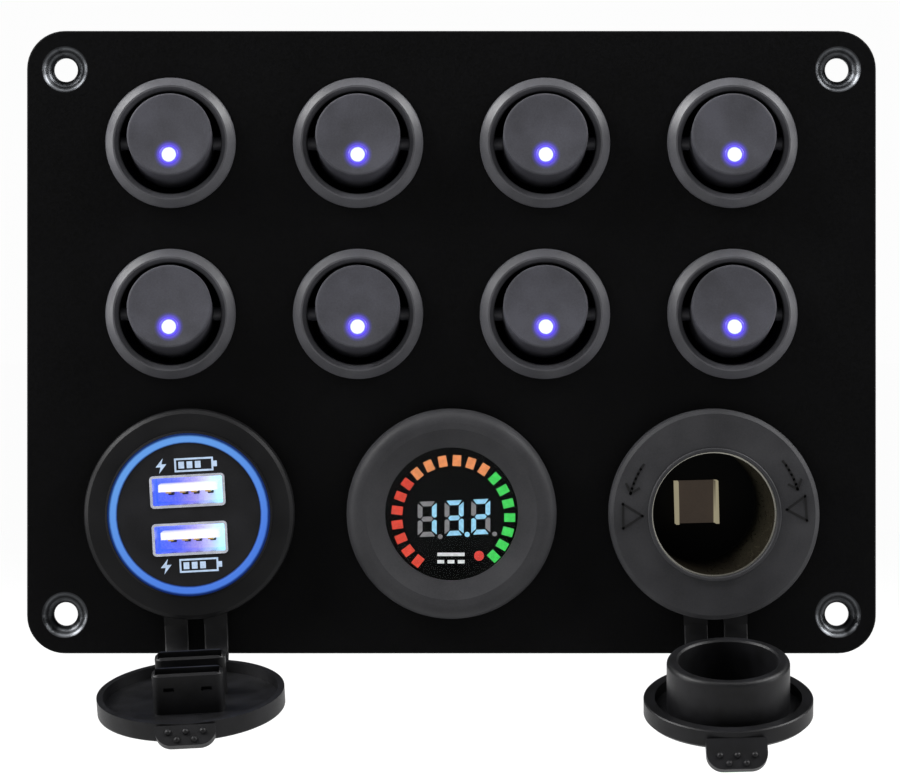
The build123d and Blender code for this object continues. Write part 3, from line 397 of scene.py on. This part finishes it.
def rubber(name, low, high, roughness):
    """Moulded rubber: satin, with a soft sheen and very fine grain."""
    s = Shader(name)
    cloud = s.noise(0.25, 3.0)
    grain = s.noise(5.0, 3.0, 0.6)
    s.set(Base_Color=s.ramp(cloud, [(0.35, low), (0.65, high)]))
    s.set(Roughness=s.span(grain, 0.3, 0.7, roughness - 0.05, roughness + 0.08))
    s.set(Specular_IOR_Level=0.17)
    s.bump(s.math("ADD", grain, s.math("MULTIPLY", cloud, 0.5)), 0.012)
    return s.material


def circuit_board():
    s = Shader("board_green")
    fibre = s.noise(1.6, 2.0, 0.5, (1.0, 1.0, 6.0))
    s.set(Base_Color=s.ramp(fibre, [(0.35, linear(14, 54, 34)), (0.65, linear(26, 84, 52))]))
    s.set(Roughness=s.span(fibre, 0.3, 0.7, 0.3, 0.45))
    s.bump(fibre, 0.01)
    return s.material


def window_clear():
    """Clear window with a faint smoke tint."""
    s = Shader("window_clear")
    haze = s.noise(0.4, 2.0)
    s.set(Base_Color=s.ramp(haze, [(0.3, linear(236, 240, 242)), (0.7, linear(244, 247, 248))]))
    s.set(Roughness=s.span(haze, 0.3, 0.7, 0.02, 0.05), IOR=1.1, Transmission_Weight=1.0)
    s.set(Specular_IOR_Level=0.05)
    return s.material


skins = {
    "panel_coat": panel_coat(),
    "switch_plastic": switch_plastic(),
    "rocker_plastic": rocker_plastic(),
    "lamp_blue": lamp_blue(),
    "usb_plastic": plastic("usb_plastic", linear(14, 14, 15), linear(22, 22, 23),
                           0.4, 0.1, 4.0, 0.006).material,
    "meter_plastic": plastic("meter_plastic", linear(40, 40, 42), linear(51, 51, 53),
                             0.48, 0.12, 3.0, 0.016).material,
    "socket_plastic": socket_plastic(),
    "face_plastic": plastic("face_plastic", linear(22, 22, 23), linear(32, 32, 34),
                            0.5, 0.08, 3.6, 0.008).material,
    "ring_light": ring_light(),
    "port_steel": port_steel(),
    "tongue_plastic": tongue_plastic(),
    "usb_contact": contact_strips(),
    "cap_rubber": rubber("cap_rubber", linear(9, 9, 10), linear(18, 18, 20), 0.42),
    "window_clear": window_clear(),
    "display_black": plastic("display_black", linear(3, 4, 4), linear(8, 9, 10),
                             0.5, 0.02, 2.0, 0.003).material,
    "liner_steel": liner_steel(),
    "centre_contact": centre_contact(),
    "tab_metal": metal("tab_metal", linear(150, 150, 152), linear(198, 198, 200),
                       0.32, (0.3, 2.0, 0.3)).material,
    "contact_brass": metal("contact_brass", linear(176, 138, 70), linear(214, 178, 104), 0.34).material,
    "board_green": circuit_board(),
    "nut_plastic": plastic("nut_plastic", linear(34, 34, 36), linear(52, 52, 54),
                           0.55, 0.35, 2.6, 0.02).material,
}

wears = {
    "front_panel": "panel_coat",
    "usb_housing": "usb_plastic", "usb_face": "face_plastic", "usb_light_ring": "ring_light",
    "usb_port_shells": "port_steel", "usb_tongues": "tongue_plastic", "usb_contacts": "usb_contact",
    "usb_circuit_board": "board_green", "usb_terminals": "tab_metal",
    "meter_housing": "meter_plastic", "meter_window": "window_clear", "meter_display": "display_black",
    "meter_circuit_board": "board_green", "meter_terminals": "tab_metal",
    "socket_housing": "socket_plastic", "socket_liner": "liner_steel",
    "socket_centre_contact": "centre_contact", "socket_terminals": "tab_metal",
    "usb_cap": "cap_rubber", "usb_cap_ring": "cap_rubber", "usb_cap_strap": "cap_rubber",
    "socket_cap": "cap_rubber", "socket_cap_ring": "cap_rubber", "socket_cap_strap": "cap_rubber",
    "retaining_nuts": "nut_plastic", "switch_feed_terminals": "tab_metal",
    "switch_load_terminals": "tab_metal", "switch_ground_terminals": "tab_metal",
}
for number in range(1, 9):
    wears[f"switch_housing_{number}"] = "switch_plastic"
    wears[f"rocker_{number}"] = "rocker_plastic"
    wears[f"rocker_lens_{number}"] = "lamp_blue"
    wears[f"contact_lever_{number}"] = "contact_brass"
for node, skin in wears.items():
    nodes[node].data.materials.clear()
    nodes[node].data.materials.append(skins[skin])


# ---------------------------------------------------------------- thin marks

def unit_point(x, turn, across, up, out):
    """Point in metres, from one on a round unit's face."""
    return Vector((x + across * cos(turn) - up * sin(turn), -out,
                   UNIT_Z + across * sin(turn) + up * cos(turn))) / 1000


def new_object(name, mesh, skin):
    """Object made from a bmesh, with one material, linked into the scene."""
    data = bpy.data.meshes.new(name)
    mesh.to_mesh(data)
    mesh.free()
    data.materials.append(skin)
    piece = bpy.data.objects.new(name, data)
    bpy.context.scene.collection.objects.link(piece)
    return piece


def plates(name, outlines, x, turn, back, front, skin, bevel=0.05):
    """Thin raised plates on a unit's face. Their front edges are cut back by `bevel`."""
    mesh = bmesh.new()
    for outline in outlines:
        middle = [sum(c) / len(outline) for c in zip(*outline)]
        reach = max(hypot(p[0] - middle[0], p[1] - middle[1]) for p in outline)
        keep = 1 - bevel / reach
        inset = [[m + (c - m) * keep for c, m in zip(point, middle)] for point in outline]
        rings = [[mesh.verts.new(unit_point(x, turn, a, b, out)) for a, b in ring]
                 for ring, out in ((outline, back), (outline, (back + front) / 2), (inset, front))]
        mesh.faces.new(rings[0])
        mesh.faces.new(rings[2])
        count = len(outline)
        for low, high in zip(rings, rings[1:]):
            for i in range(count):
                j = (i + 1) % count
                mesh.faces.new((low[i], low[j], high[j], high[i]))
    bmesh.ops.recalc_face_normals(mesh, faces=mesh.faces)
    piece = new_object(name, mesh, skin)
    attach(piece, "panel")


def oblong(left, low, right, high):
    return [(left, low), (right, low), (right, high), (left, high)]


def disc(across, up, radius, count=28):
    return [(across + radius * cos(2 * pi * i / count), up + radius * sin(2 * pi * i / count))
            for i in range(count)]


def stroke(path, width, closed=False):
    """Four-sided pieces along a line of points, joined corner to corner."""
    pieces = []
    ends = list(zip(path, path[1:] + path[:1])) if closed else list(zip(path, path[1:]))
    for (a, b), (c, d) in ends:
        length = hypot(c - a, d - b)
        dx, dy = (c - a) / length * width / 2, (d - b) / length * width / 2
        pieces.append([(a - dx - dy, b - dy + dx), (a - dx + dy, b - dy - dx),
                       (c + dx + dy, d + dy - dx), (c + dx - dy, d + dy + dx)])
    return pieces


# Voltmeter face. Everything lies between the display and the window.
MARK_BACK, MARK_FRONT = 3.61, 3.7
FACE_SHIFT = (0.3, -0.6)
BAR_R, BAR_LONG, BAR_WIDE = 9.95, 1.95, 1.5


def bar(angle):
    """One bar of the level ring, as a four-sided outline."""
    out, side = (cos(angle), sin(angle)), (-sin(angle), cos(angle))
    corners = ((-1, -1), (1, -1), (1, 1), (-1, 1))
    return [(FACE_SHIFT[0] + out[0] * (BAR_R + a * BAR_LONG / 2) + side[0] * b * BAR_WIDE / 2,
             FACE_SHIFT[1] + out[1] * (BAR_R + a * BAR_LONG / 2) + side[1] * b * BAR_WIDE / 2)
            for a, b in corners]


def meter_marks(name, outlines, skin):
    plates(name, outlines, 0, 0, MARK_BACK, MARK_FRONT, skin)


bars = [bar(radians(231.3 - 14.5 * step)) for step in range(20)]
red, amber, green = linear(232, 62, 38), linear(248, 150, 88), linear(60, 222, 88)
meter_marks("meter_bars_red", bars[:7], lit("glow_red", red, 1.0))
meter_marks("meter_bars_amber", bars[7:13], lit("glow_amber", amber, 1.0))
meter_marks("meter_bars_green", bars[13:], lit("glow_green", green, 1.0))

DIGIT_H, DIGIT_W, BAR_T, DIGIT_GAP = 6.2, 3.35, 0.84, 0.16
DIGIT_LEAN = 0.045
DIGIT_TURN = radians(2.6)
DIGIT_AT = ((-4.29, -0.98), (0.46, -0.78), (5.15, -0.56))
SEGMENTS = {"1": "bc", "3": "abcdg", "2": "abdeg"}


def segment(letter):
    """Outline of one of a digit's seven segments, with the digit's middle at (0, 0)."""
    w, h, t, g = DIGIT_W / 2, DIGIT_H / 2, BAR_T, DIGIT_GAP
    if letter in "ad":
        side = 1 if letter == "a" else -1
        return [(-w + g * 2, side * h), (w - g * 2, side * h),
                (w - t - g * 0.4, side * (h - t)), (-w + t + g * 0.4, side * (h - t))]
    if letter == "g":
        s = t / 2
        tip, shoulder = w - t * 0.55 - g, w - t - g * 0.6
        return [(-tip, 0), (-shoulder, s), (shoulder, s), (tip, 0), (shoulder, -s), (-shoulder, -s)]
    right = 1 if letter in "bc" else -1
    upper = 1 if letter in "bf" else -1
    return [(right * w, upper * (h - g * 2)), (right * (w - t), upper * (h - t - g)),
            (right * (w - t), upper * (t / 2 + g * 0.6)), (right * (w - t * 0.5), upper * g),
            (right * w, upper * (g + t * 0.25))]


def placed(outline, at):
    """A digit's outline leaned, turned and moved to its place."""
    moved = []
    for a, b in outline:
        a += b * DIGIT_LEAN
        moved.append((at[0] + a * cos(DIGIT_TURN) - b * sin(DIGIT_TURN),
                      at[1] + a * sin(DIGIT_TURN) + b * cos(DIGIT_TURN)))
    return moved


lit_marks, dark_marks = [disc(2.75, -3.69, 0.46)], [disc(-2.0, -4.08, 0.42), disc(7.6, -3.6, 0.42)]
for figure, at in zip("132", DIGIT_AT):
    for letter in "abcdefg":
        group = lit_marks if letter in SEGMENTS[figure] else dark_marks
        group.append(placed(segment(letter), at))
meter_marks("meter_digits_lit", lit_marks, lit("glow_ice", linear(160, 222, 252), 1.0))
# Painted light: the unlit segments are no lamps, and glow grey for how they look under the studio
# light.
meter_marks("meter_digits_unlit", dark_marks, lit("unlit_grey_painted_glow", linear(138, 134, 136), 0.95))
direct_current = [oblong(-2.5, -7.5, 2.3, -6.9)]
direct_current += [oblong(left, -8.8, left + 1.2, -8.2) for left in (-2.5, -0.7, 1.1)]
# Painted light: the printed DC symbol glows for its white tone.
meter_marks("meter_dc_symbol", direct_current, lit("print_white_painted_glow", linear(240, 240, 240), 0.95))
meter_marks("meter_alarm_dot", [disc(4.85, -7.46, 0.87, 40)], lit("glow_dot", linear(226, 54, 40), 1.0))

# Charger face: a bolt and a battery above and below the ports.
ICON_BACK, ICON_FRONT = 7.31, 7.36


def charge_icons(middle_up):
    bolt = [(0.35, 1.35), (-0.95, -0.2), (-0.1, -0.2), (-0.4, -1.35), (0.95, 0.3), (0.1, 0.3)]
    halves = [[bolt[0], bolt[1], bolt[2], bolt[5]], [bolt[3], bolt[4], bolt[5], bolt[2]]]
    marks = [[(a - 4.4, b + middle_up) for a, b in half] for half in halves]
    marks += stroke(oblong(-1.9, middle_up - 1.05, 4.6, middle_up + 1.05), 0.32, closed=True)
    marks.append(oblong(4.75, middle_up - 0.5, 5.4, middle_up + 0.5))
    for left in (-1.35, 0.1, 1.55):
        marks.append(oblong(left, middle_up - 0.6, left + 1.0, middle_up + 0.6))
    return marks


# Painted light: the printed icons glow for their pale tone.
plates("usb_charge_icons", charge_icons(8.75) + charge_icons(-8.9), -UNIT_X, USB_TURN,
       ICON_BACK, ICON_FRONT, lit("print_ice_painted_glow", linear(196, 220, 250), 0.9), 0.03)

# Socket flange: two curved arrows and two triangles, pressed in dark.
FLANGE_FRONT, USB_FLANGE = 7.2, 6.9
ARROW_R, ARROW_T = 15.2, 0.42


def on_ring(radius, angle):
    return (radius * cos(radians(angle)), radius * sin(radians(angle)))


def arrow(first, last, head):
    """Strokes of a curved arrow from one angle to another."""
    steps = 6
    path = [on_ring(ARROW_R, first + (last - first) * i / steps) for i in range(steps + 1)]
    tip = path[-1]
    barbs = [on_ring(ARROW_R + 1.15, last - head), on_ring(ARROW_R - 1.15, last - head)]
    return stroke(path, ARROW_T) + stroke([barbs[0], tip], ARROW_T) + stroke([barbs[1], tip], ARROW_T)


def triangle(angle):
    corners = [on_ring(12.7, angle), on_ring(16.2, angle + 7.6), on_ring(16.2, angle - 7.6)]
    return stroke(corners, 0.42, closed=True)


marks = arrow(145.0, 166.0, 5.0) + arrow(38.0, 17.0, -5.0) + triangle(4.0) + triangle(181.0)
print_dark = plastic("print_dark", linear(9, 9, 10), linear(16, 16, 17), 0.6, 0.2, 4.0, 0.004).material
plates("socket_flange_marks", marks, UNIT_X, 0, FLANGE_FRONT - 0.02, FLANGE_FRONT + 0.015, print_dark,
       0.01)


# ---------------------------------------------------------------- rubber straps

STRAP_X, STRAP_W, STRAP_T = 3.5, 4.2, 1.1
STRAP_START_OUT, STRAP_START_DROP, STRAP_STRAIGHT = 3.1, 19.6, 0.8
CAP_T, CAP_SEAT_GAP, HINGE_DROP, LUG_REACH = 3.3, 0.1, 21.5, 0.8
ROOT_IN, TIP_IN = 0.3, 0.5


def strap_fit(hinge_out, flange_out, cap_radius, opened):
    """Bend radius and end run that land a strap on the edge of a cap standing open by an angle."""
    si, co = sin(opened), cos(opened)
    seat = flange_out + CAP_SEAT_GAP - hinge_out
    end_out = hinge_out + seat * co + HINGE_DROP * si - (cap_radius + LUG_REACH) * si + CAP_T / 2 * co
    end_up = -HINGE_DROP + HINGE_DROP * co - seat * si - (cap_radius + LUG_REACH) * co - CAP_T / 2 * si
    reach_out = end_out - STRAP_START_OUT
    reach_down = -end_up - STRAP_START_DROP - STRAP_STRAIGHT
    si, co = sin(pi - opened), cos(pi - opened)
    radius = (reach_down * si - reach_out * co) / (si * si - (1 - co) * co)
    return radius, (reach_out - radius * (1 - co)) / si


def strap_path(radius, end_run, bend):
    """Points and headings along a strap, in (out, up), from its root to its tip."""
    rows = []
    top = -STRAP_START_DROP + ROOT_IN
    for i in range(3):
        rows.append((STRAP_START_OUT, top - (STRAP_STRAIGHT + ROOT_IN) * i / 3, 0.0))
    base = -STRAP_START_DROP - STRAP_STRAIGHT
    arcs = 22
    for i in range(arcs + 1):
        turn = bend * i / arcs
        rows.append((STRAP_START_OUT + radius * (1 - cos(turn)), base - radius * sin(turn), turn))
    out, up, turn = rows[-1]
    steps = 4
    for i in range(1, steps + 1):
        run = (end_run + TIP_IN) * i / steps
        rows.append((out + run * sin(turn), up - run * cos(turn), turn))
    return rows


def strap_section():
    """Rounded oblong section, as (across, thick) points."""
    round_r = 0.32
    points = []
    for a, b, start in ((1, 1, 0), (-1, 1, 90), (-1, -1, 180), (1, -1, 270)):
        for k in range(4):
            angle = radians(start + 30 * k)
            points.append((a * (STRAP_W / 2 - round_r) + round_r * cos(angle),
                           b * (STRAP_T / 2 - round_r) + round_r * sin(angle)))
    return points


def make_straps(name, x, turn, fit, bend, node):
    mesh = bmesh.new()
    section = strap_section()
    rows = strap_path(*fit, bend)
    total = len(rows) - 1
    for side in (-1, 1):
        rings = []
        for index, (out, up, heading) in enumerate(rows):
            # The strap is a little thinner where it bends most, as a moulded hinge is.
            thin = 1 - 0.16 * sin(pi * index / total) ** 2
            ring = []
            for across, thick in section:
                thick *= thin
                point_up, point_out = up + thick * sin(heading), out + thick * cos(heading)
                point = unit_point(x, turn, side * STRAP_X + across, point_up, point_out)
                ring.append(mesh.verts.new(point))
            rings.append(ring)
        for low, high in zip(rings, rings[1:]):
            for i in range(len(section)):
                j = (i + 1) % len(section)
                mesh.faces.new((low[i], low[j], high[j], high[i])).smooth = True
        mesh.faces.new(rings[0])
        mesh.faces.new(rings[-1])
    bmesh.ops.recalc_face_normals(mesh, faces=mesh.faces)
    piece = new_object(name, mesh, skins["cap_rubber"])
    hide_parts(node)
    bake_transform(piece)


usb_open, socket_open = radians(103.5), radians(107.0)
make_straps("usb_strap_bands", -UNIT_X, USB_TURN, strap_fit(4.5, USB_FLANGE, 16.0, usb_open),
            pi - usb_open, "usb_cap_strap")
make_straps("socket_strap_bands", UNIT_X, SOCKET_TURN, strap_fit(5.0, FLANGE_FRONT, 14.4, socket_open),
            pi - socket_open, "socket_cap_strap")


# ---------------------------------------------------------------- studio

# The floor clears both caps when they hang furthest down.
FLOOR_Z = -90.0


def floor_skin():
    s = Shader("studio_floor")
    place = s.axes()
    far = s.span(s.distance(place[0], place[1]), 150.0, 900.0, 0.0, 1.0, smooth=True)
    near_tone = s.ramp(s.noise(0.02), [(0.3, (0.11, 0.11, 0.11, 1)), (0.7, (0.12, 0.12, 0.12, 1))])
    s.set(Base_Color=s.mix(far, near_tone, (0, 0, 0, 1)), Roughness=0.8, Specular_IOR_Level=0.0)
    s.set(Emission_Color=(1, 1, 1, 1), Emission_Strength=s.span(far, 0.0, 1.0, 0.9, 0.975))
    return s.material


def make_floor():
    mesh = bmesh.new()
    bmesh.ops.create_circle(mesh, cap_ends=True, segments=96, radius=6.0)
    for vertex in mesh.verts:
        vertex.co.z = FLOOR_Z / 1000
    new_object("studio_floor", mesh, floor_skin())


make_floor()


def softbox(name, place, target, wide, high, power, colour=(1.0, 1.0, 1.0)):
    light = bpy.data.lights.new(name, "AREA")
    light.shape = "RECTANGLE"
    light.size, light.size_y = wide, high
    light.energy = power
    light.color = colour
    box = bpy.data.objects.new(name, light)
    box.location = place
    box.rotation_euler = (Vector(target) - Vector(place)).to_track_quat("-Z", "Y").to_euler()
    bpy.context.scene.collection.objects.link(box)


softbox("softbox_left", (-0.64, -0.1, 0.56), (0, 0, 0), 0.5, 0.45, 13.5)
softbox("softbox_right", (0.64, -0.1, 0.56), (0, 0, 0), 0.5, 0.45, 11.0)
softbox("softbox_low_left", (-0.85, -0.06, 0.06), (0, 0, 0), 0.35, 0.35, 3.6)
softbox("softbox_low_right", (0.85, -0.06, 0.06), (0, 0, 0), 0.35, 0.35, 2.6)
softbox("softbox_top", (0.0, -0.2, 0.95), (0, 0, 0), 1.0, 0.35, 4.0)
softbox("softbox_front", (-0.45, -1.5, 0.5), (0, 0, 0), 1.2, 0.9, 2.0)

world = bpy.data.worlds.new("studio")
bpy.context.scene.world = world
world.use_nodes = True
tree = world.node_tree
background = tree.nodes["Background"]
path = tree.nodes.new("ShaderNodeLightPath")
level = tree.nodes.new("ShaderNodeMapRange")
tree.links.new(path.outputs["Is Camera Ray"], level.inputs[0])
level.inputs[3].default_value = 0.06
level.inputs[4].default_value = 0.98
tree.links.new(level.outputs[0], background.inputs["Strength"])
background.inputs["Color"].default_value = (1, 1, 1, 1)

scene = bpy.context.scene
scene.view_settings.view_transform = "Standard"
scene.view_settings.look = "None"

# ---------------------------------------------------------------- camera

# The picture is PICTURE_W millimetres wide at the panel's front face.
CAMERA_RIGHT, CAMERA_BACK, CAMERA_UP = -5.0, 602.5, 5.0
PANEL_FRONT, PICTURE_W = 2.5, 159.0
camera_data = bpy.data.cameras.new("camera")
camera = bpy.data.objects.new("camera", camera_data)
camera.location = Vector((CAMERA_RIGHT, -CAMERA_BACK, CAMERA_UP)) / 1000
camera.rotation_euler = (radians(90), 0, 0)
camera_data.sensor_width = 36.0
camera_data.lens = 36.0 * (CAMERA_BACK - PANEL_FRONT) / PICTURE_W
camera_data.shift_x, camera_data.shift_y = 0.0298, -0.0807
camera_data.clip_start, camera_data.clip_end = 0.01, 30.0
scene.collection.objects.link(camera)
scene.camera = camera
